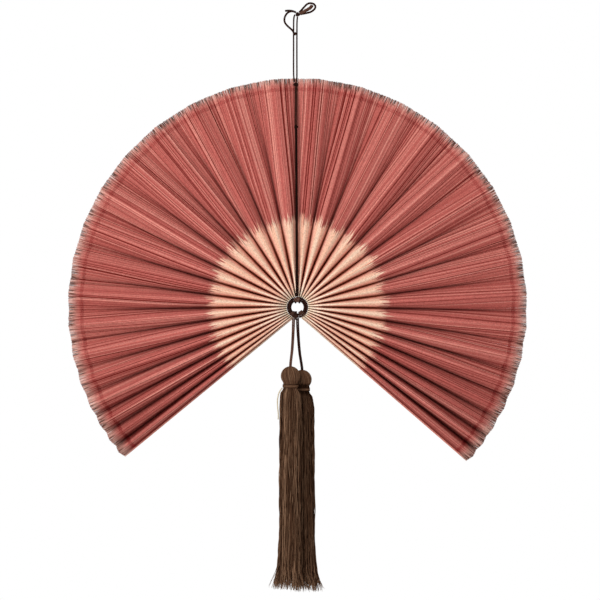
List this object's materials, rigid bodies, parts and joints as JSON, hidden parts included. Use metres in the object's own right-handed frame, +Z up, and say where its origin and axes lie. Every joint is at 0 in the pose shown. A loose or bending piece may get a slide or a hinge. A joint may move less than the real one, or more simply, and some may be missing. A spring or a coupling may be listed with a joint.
{
  "type": "folding wall fan",
  "caption": "Large pleated bamboo fan for a wall, spread from a cord ring, hung on a knotted cord loop, with a pair of yarn tassels.",
  "frame": {"origin": "the nail that holds the hanging loop, under its top knot", "axes": "+Z up, the front of the fan faces -Y and its back lies towards the wall at +Y, +X to the viewer's right"},
  "size_m": [0.7, 0.0586, 0.8978],
  "materials": {
    "bamboo_matting": "dyed split bamboo, natural towards the hub",
    "dark_cord": "twisted cord",
    "tassel_yarn": "loose yarn",
    "bare_wood": "bare"
  },
  "bodies": {
    "root": {"hub_ring": "dark_cord", "ring_knot": "dark_cord", "hanging_cord": "dark_cord", "middle_knot": "dark_cord", "twin_cord_left": "dark_cord", "twin_cord_right": "dark_cord", "rim_knot": "dark_cord", "loop_leg_left": "dark_cord", "loop_leg_right": "dark_cord", "top_knot": "dark_cord", "bow_loop": "dark_cord", "bow_end": "dark_cord", "side_strand": "dark_cord", "end_knot": "dark_cord", "cord_tail": "dark_cord"},
    "left_pleat_01": {"left_pleat_01": "bamboo_matting"},
    "left_pleat_02": {"left_pleat_02": "bamboo_matting"},
    "left_pleat_03": {"left_pleat_03": "bamboo_matting"},
    "left_pleat_04": {"left_pleat_04": "bamboo_matting"},
    "left_pleat_05": {"left_pleat_05": "bamboo_matting"},
    "left_pleat_06": {"left_pleat_06": "bamboo_matting"},
    "left_pleat_07": {"left_pleat_07": "bamboo_matting"},
    "left_pleat_08": {"left_pleat_08": "bamboo_matting"},
    "left_pleat_09": {"left_pleat_09": "bamboo_matting"},
    "left_pleat_10": {"left_pleat_10": "bamboo_matting"},
    "left_pleat_11": {"left_pleat_11": "bamboo_matting"},
    "left_pleat_12": {"left_pleat_12": "bamboo_matting"},
    "left_pleat_13": {"left_pleat_13": "bamboo_matting"},
    "left_pleat_14": {"left_pleat_14": "bamboo_matting"},
    "left_pleat_15": {"left_pleat_15": "bamboo_matting"},
    "left_pleat_16": {"left_pleat_16": "bamboo_matting"},
    "right_pleat_01": {"right_pleat_01": "bamboo_matting"},
    "right_pleat_02": {"right_pleat_02": "bamboo_matting"},
    "right_pleat_03": {"right_pleat_03": "bamboo_matting"},
    "right_pleat_04": {"right_pleat_04": "bamboo_matting"},
    "right_pleat_05": {"right_pleat_05": "bamboo_matting"},
    "right_pleat_06": {"right_pleat_06": "bamboo_matting"},
    "right_pleat_07": {"right_pleat_07": "bamboo_matting"},
    "right_pleat_08": {"right_pleat_08": "bamboo_matting"},
    "right_pleat_09": {"right_pleat_09": "bamboo_matting"},
    "right_pleat_10": {"right_pleat_10": "bamboo_matting"},
    "right_pleat_11": {"right_pleat_11": "bamboo_matting"},
    "right_pleat_12": {"right_pleat_12": "bamboo_matting"},
    "right_pleat_13": {"right_pleat_13": "bamboo_matting"},
    "right_pleat_14": {"right_pleat_14": "bamboo_matting"},
    "right_pleat_15": {"right_pleat_15": "bamboo_matting"},
    "right_pleat_16": {"right_pleat_16": "bamboo_matting"},
    "tassel_hitch": {"tassel_hitch": "dark_cord"},
    "tassel_wrap": {"hitch_wrap": "dark_cord"},
    "left_tassel": {"left_tassel_cord": "dark_cord", "left_tassel_core": "bare_wood", "left_tassel_yarn": "tassel_yarn", "left_neck_binding": "dark_cord"},
    "right_tassel": {"right_tassel_cord": "dark_cord", "right_tassel_core": "bare_wood", "right_tassel_yarn": "tassel_yarn", "right_neck_binding": "dark_cord"}
  },
  "joints": [
    {"name": "left_fold_01", "type": "hinge", "parent": "root", "child": "left_pleat_01", "pos_m": [0.0034, 0, -0.42635], "axis": [0, 1, 0], "range_deg": [0, 5.94], "deforming": ["left_pleat_01"]},
    {"name": "left_fold_02", "type": "hinge", "parent": "left_pleat_01", "child": "left_pleat_02", "pos_m": [0.00063, 0, -0.42658], "axis": [0, 1, 0], "range_deg": [0, 10.99], "deforming": ["left_pleat_02"]},
    {"name": "left_fold_03", "type": "hinge", "parent": "left_pleat_02", "child": "left_pleat_03", "pos_m": [-0.00205, 0, -0.42727], "axis": [0, 1, 0], "range_deg": [0, 10.86], "deforming": ["left_pleat_03"]},
    {"name": "left_fold_04", "type": "hinge", "parent": "left_pleat_03", "child": "left_pleat_04", "pos_m": [-0.00459, 0, -0.42839], "axis": [0, 1, 0], "range_deg": [0, 10.67], "deforming": ["left_pleat_04"]},
    {"name": "left_fold_05", "type": "hinge", "parent": "left_pleat_04", "child": "left_pleat_05", "pos_m": [-0.00691, 0, -0.42993], "axis": [0, 1, 0], "range_deg": [0, 10.41], "deforming": ["left_pleat_05"]},
    {"name": "left_fold_06", "type": "hinge", "parent": "left_pleat_05", "child": "left_pleat_06", "pos_m": [-0.00894, 0, -0.43182], "axis": [0, 1, 0], "range_deg": [0, 10.09], "deforming": ["left_pleat_06"]},
    {"name": "left_fold_07", "type": "hinge", "parent": "left_pleat_06", "child": "left_pleat_07", "pos_m": [-0.01062, 0, -0.43402], "axis": [0, 1, 0], "range_deg": [0, 9.7], "deforming": ["left_pleat_07"]},
    {"name": "left_fold_08", "type": "hinge", "parent": "left_pleat_07", "child": "left_pleat_08", "pos_m": [-0.01192, 0, -0.43648], "axis": [0, 1, 0], "range_deg": [0, 9.25], "deforming": ["left_pleat_08"]},
    {"name": "left_fold_09", "type": "hinge", "parent": "left_pleat_08", "child": "left_pleat_09", "pos_m": [-0.01279, 0, -0.43911], "axis": [0, 1, 0], "range_deg": [0, 8.74], "deforming": ["left_pleat_09"]},
    {"name": "left_fold_10", "type": "hinge", "parent": "left_pleat_09", "child": "left_pleat_10", "pos_m": [-0.01321, 0, -0.44186], "axis": [0, 1, 0], "range_deg": [0, 8.16], "deforming": ["left_pleat_10"]},
    {"name": "left_fold_11", "type": "hinge", "parent": "left_pleat_10", "child": "left_pleat_11", "pos_m": [-0.01317, 0, -0.44463], "axis": [0, 1, 0], "range_deg": [0, 7.51], "deforming": ["left_pleat_11"]},
    {"name": "left_fold_12", "type": "hinge", "parent": "left_pleat_11", "child": "left_pleat_12", "pos_m": [-0.01267, 0, -0.44736], "axis": [0, 1, 0], "range_deg": [0, 6.8], "deforming": ["left_pleat_12"]},
    {"name": "left_fold_13", "type": "hinge", "parent": "left_pleat_12", "child": "left_pleat_13", "pos_m": [-0.01172, 0, -0.44997], "axis": [0, 1, 0], "range_deg": [0, 6.03], "deforming": ["left_pleat_13"]},
    {"name": "left_fold_14", "type": "hinge", "parent": "left_pleat_13", "child": "left_pleat_14", "pos_m": [-0.01035, 0, -0.45239], "axis": [0, 1, 0], "range_deg": [0, 5.2], "deforming": ["left_pleat_14"]},
    {"name": "left_fold_15", "type": "hinge", "parent": "left_pleat_14", "child": "left_pleat_15", "pos_m": [-0.0086, 0, -0.45454], "axis": [0, 1, 0], "range_deg": [0, 4.3], "deforming": ["left_pleat_15"]},
    {"name": "left_fold_16", "type": "hinge", "parent": "left_pleat_15", "child": "left_pleat_16", "pos_m": [-0.00652, 0, -0.45637], "axis": [0, 1, 0], "range_deg": [0, 3.34], "deforming": ["left_pleat_16"]},
    {"name": "right_fold_01", "type": "hinge", "parent": "root", "child": "right_pleat_01", "pos_m": [0.0034, 0, -0.42635], "axis": [0, -1, 0], "range_deg": [0, 5.15], "deforming": ["right_pleat_01"]},
    {"name": "right_fold_02", "type": "hinge", "parent": "right_pleat_01", "child": "right_pleat_02", "pos_m": [0.00617, 0, -0.42658], "axis": [0, -1, 0], "range_deg": [0, 11.1], "deforming": ["right_pleat_02"]},
    {"name": "right_fold_03", "type": "hinge", "parent": "right_pleat_02", "child": "right_pleat_03", "pos_m": [0.00886, 0, -0.42727], "axis": [0, -1, 0], "range_deg": [0, 10.97], "deforming": ["right_pleat_03"]},
    {"name": "right_fold_04", "type": "hinge", "parent": "right_pleat_03", "child": "right_pleat_04", "pos_m": [0.01139, 0, -0.42839], "axis": [0, -1, 0], "range_deg": [0, 10.78], "deforming": ["right_pleat_04"]},
    {"name": "right_fold_05", "type": "hinge", "parent": "right_pleat_04", "child": "right_pleat_05", "pos_m": [0.01371, 0, -0.42993], "axis": [0, -1, 0], "range_deg": [0, 10.53], "deforming": ["right_pleat_05"]},
    {"name": "right_fold_06", "type": "hinge", "parent": "right_pleat_05", "child": "right_pleat_06", "pos_m": [0.01574, 0, -0.43182], "axis": [0, -1, 0], "range_deg": [0, 10.21], "deforming": ["right_pleat_06"]},
    {"name": "right_fold_07", "type": "hinge", "parent": "right_pleat_06", "child": "right_pleat_07", "pos_m": [0.01742, 0, -0.43402], "axis": [0, -1, 0], "range_deg": [0, 9.83], "deforming": ["right_pleat_07"]},
    {"name": "right_fold_08", "type": "hinge", "parent": "right_pleat_07", "child": "right_pleat_08", "pos_m": [0.01872, 0, -0.43648], "axis": [0, -1, 0], "range_deg": [0, 9.38], "deforming": ["right_pleat_08"]},
    {"name": "right_fold_09", "type": "hinge", "parent": "right_pleat_08", "child": "right_pleat_09", "pos_m": [0.01959, 0, -0.43911], "axis": [0, -1, 0], "range_deg": [0, 8.87], "deforming": ["right_pleat_09"]},
    {"name": "right_fold_10", "type": "hinge", "parent": "right_pleat_09", "child": "right_pleat_10", "pos_m": [0.02001, 0, -0.44186], "axis": [0, -1, 0], "range_deg": [0, 8.3], "deforming": ["right_pleat_10"]},
    {"name": "right_fold_11", "type": "hinge", "parent": "right_pleat_10", "child": "right_pleat_11", "pos_m": [0.01997, 0, -0.44463], "axis": [0, -1, 0], "range_deg": [0, 7.66], "deforming": ["right_pleat_11"]},
    {"name": "right_fold_12", "type": "hinge", "parent": "right_pleat_11", "child": "right_pleat_12", "pos_m": [0.01947, 0, -0.44736], "axis": [0, -1, 0], "range_deg": [0, 6.96], "deforming": ["right_pleat_12"]},
    {"name": "right_fold_13", "type": "hinge", "parent": "right_pleat_12", "child": "right_pleat_13", "pos_m": [0.01852, 0, -0.44997], "axis": [0, -1, 0], "range_deg": [0, 6.2], "deforming": ["right_pleat_13"]},
    {"name": "right_fold_14", "type": "hinge", "parent": "right_pleat_13", "child": "right_pleat_14", "pos_m": [0.01715, 0, -0.45239], "axis": [0, -1, 0], "range_deg": [0, 5.38], "deforming": ["right_pleat_14"]},
    {"name": "right_fold_15", "type": "hinge", "parent": "right_pleat_14", "child": "right_pleat_15", "pos_m": [0.0154, 0, -0.45454], "axis": [0, -1, 0], "range_deg": [0, 4.49], "deforming": ["right_pleat_15"]},
    {"name": "right_fold_16", "type": "hinge", "parent": "right_pleat_15", "child": "right_pleat_16", "pos_m": [0.01332, 0, -0.45637], "axis": [0, -1, 0], "range_deg": [0, 3.54], "deforming": ["right_pleat_16"]},
    {"name": "tassels_forward", "type": "hinge", "parent": "root", "child": "tassel_hitch", "pos_m": [0.0004, -0.014, -0.45534], "axis": [-1, 0, 0], "range_deg": [0, 60]},
    {"name": "tassels_sideways", "type": "hinge", "parent": "tassel_hitch", "child": "tassel_wrap", "pos_m": [0.0004, -0.0226, -0.4565], "axis": [0, 1, 0], "range_deg": [-25, 25]},
    {"name": "left_tassel_out", "type": "hinge", "parent": "tassel_wrap", "child": "left_tassel", "pos_m": [-0.0027, -0.0226, -0.4591], "axis": [0, 1, 0], "range_deg": [0, 20]},
    {"name": "right_tassel_out", "type": "hinge", "parent": "tassel_wrap", "child": "right_tassel", "pos_m": [0.0035, -0.0226, -0.4591], "axis": [0, -1, 0], "range_deg": [0, 20]}
  ],
  "couplings": [
    {"joint": "left_fold_02", "follows": "left_fold_01", "ratio": 1.8504},
    {"joint": "left_fold_03", "follows": "left_fold_01", "ratio": 1.8287},
    {"joint": "left_fold_04", "follows": "left_fold_01", "ratio": 1.7961},
    {"joint": "left_fold_05", "follows": "left_fold_01", "ratio": 1.7527},
    {"joint": "left_fold_06", "follows": "left_fold_01", "ratio": 1.6985},
    {"joint": "left_fold_07", "follows": "left_fold_01", "ratio": 1.6334},
    {"joint": "left_fold_08", "follows": "left_fold_01", "ratio": 1.5575},
    {"joint": "left_fold_09", "follows": "left_fold_01", "ratio": 1.4708},
    {"joint": "left_fold_10", "follows": "left_fold_01", "ratio": 1.3732},
    {"joint": "left_fold_11", "follows": "left_fold_01", "ratio": 1.2647},
    {"joint": "left_fold_12", "follows": "left_fold_01", "ratio": 1.1454},
    {"joint": "left_fold_13", "follows": "left_fold_01", "ratio": 1.0152},
    {"joint": "left_fold_14", "follows": "left_fold_01", "ratio": 0.87443},
    {"joint": "left_fold_15", "follows": "left_fold_01", "ratio": 0.72322},
    {"joint": "left_fold_16", "follows": "left_fold_01", "ratio": 0.56197},
    {"joint": "right_fold_02", "follows": "right_fold_01", "ratio": 2.1536},
    {"joint": "right_fold_03", "follows": "right_fold_01", "ratio": 2.1289},
    {"joint": "right_fold_04", "follows": "right_fold_01", "ratio": 2.0918},
    {"joint": "right_fold_05", "follows": "right_fold_01", "ratio": 2.0425},
    {"joint": "right_fold_06", "follows": "right_fold_01", "ratio": 1.9808},
    {"joint": "right_fold_07", "follows": "right_fold_01", "ratio": 1.9067},
    {"joint": "right_fold_08", "follows": "right_fold_01", "ratio": 1.8204},
    {"joint": "right_fold_09", "follows": "right_fold_01", "ratio": 1.7217},
    {"joint": "right_fold_10", "follows": "right_fold_01", "ratio": 1.6107},
    {"joint": "right_fold_11", "follows": "right_fold_01", "ratio": 1.4872},
    {"joint": "right_fold_12", "follows": "right_fold_01", "ratio": 1.3515},
    {"joint": "right_fold_13", "follows": "right_fold_01", "ratio": 1.2034},
    {"joint": "right_fold_14", "follows": "right_fold_01", "ratio": 1.0432},
    {"joint": "right_fold_15", "follows": "right_fold_01", "ratio": 0.87104},
    {"joint": "right_fold_16", "follows": "right_fold_01", "ratio": 0.68738}
  ]
}
